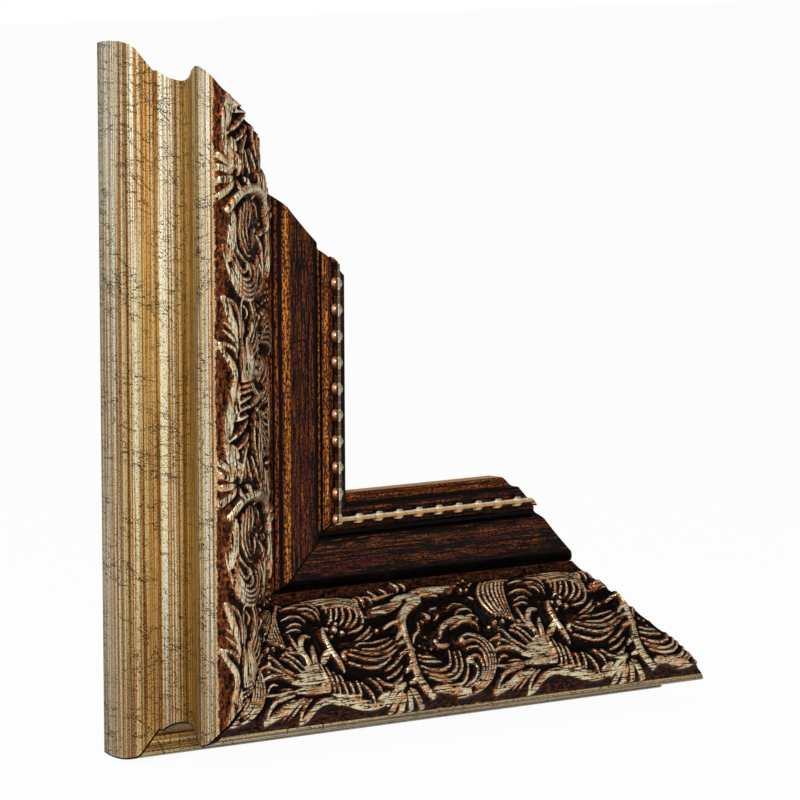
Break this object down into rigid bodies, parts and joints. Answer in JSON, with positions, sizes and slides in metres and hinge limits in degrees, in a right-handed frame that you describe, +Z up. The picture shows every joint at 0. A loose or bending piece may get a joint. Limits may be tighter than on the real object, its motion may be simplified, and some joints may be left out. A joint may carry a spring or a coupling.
{
  "type": "baroque picture frame corner",
  "caption": "Mitred corner of a deep baroque picture frame moulding with gilded base band, dark sight edge, pearl string and an acanthus scroll frieze.",
  "frame": {"origin": "on the wall plane, at the middle of the left rail's flat back", "axes": "+X along the bottom rail away from the corner, +Y into the wall, +Z up along the left rail"},
  "size_m": [0.2419, 0.0527, 0.242],
  "materials": {
    "gilded_wood": "champagne gilding with worn streaks over gesso, bare wood at the back",
    "dark_wood": "mahogany stain with black streaks, satin",
    "gilded_composition": "pressed composition, dark in the hollows, rubbed champagne gold on the raised parts",
    "pearl_composition": "pressed composition, gold-cream tops and copper-brown sides",
    "nail_steel": "plain spring steel"
  },
  "bodies": {
    "root": {"left_back_strip": "gilded_wood", "left_frieze_moulding": "gilded_wood", "left_frieze_ornament": "gilded_composition", "left_sight_moulding": "dark_wood", "left_pearl_string": "pearl_composition", "bottom_back_strip": "gilded_wood", "bottom_frieze_moulding": "gilded_wood", "bottom_frieze_ornament": "gilded_composition", "bottom_sight_moulding": "dark_wood", "bottom_pearl_string": "pearl_composition", "v_nail_outer": "nail_steel", "v_nail_middle": "nail_steel", "v_nail_inner": "nail_steel"}
  },
  "joints": []
}
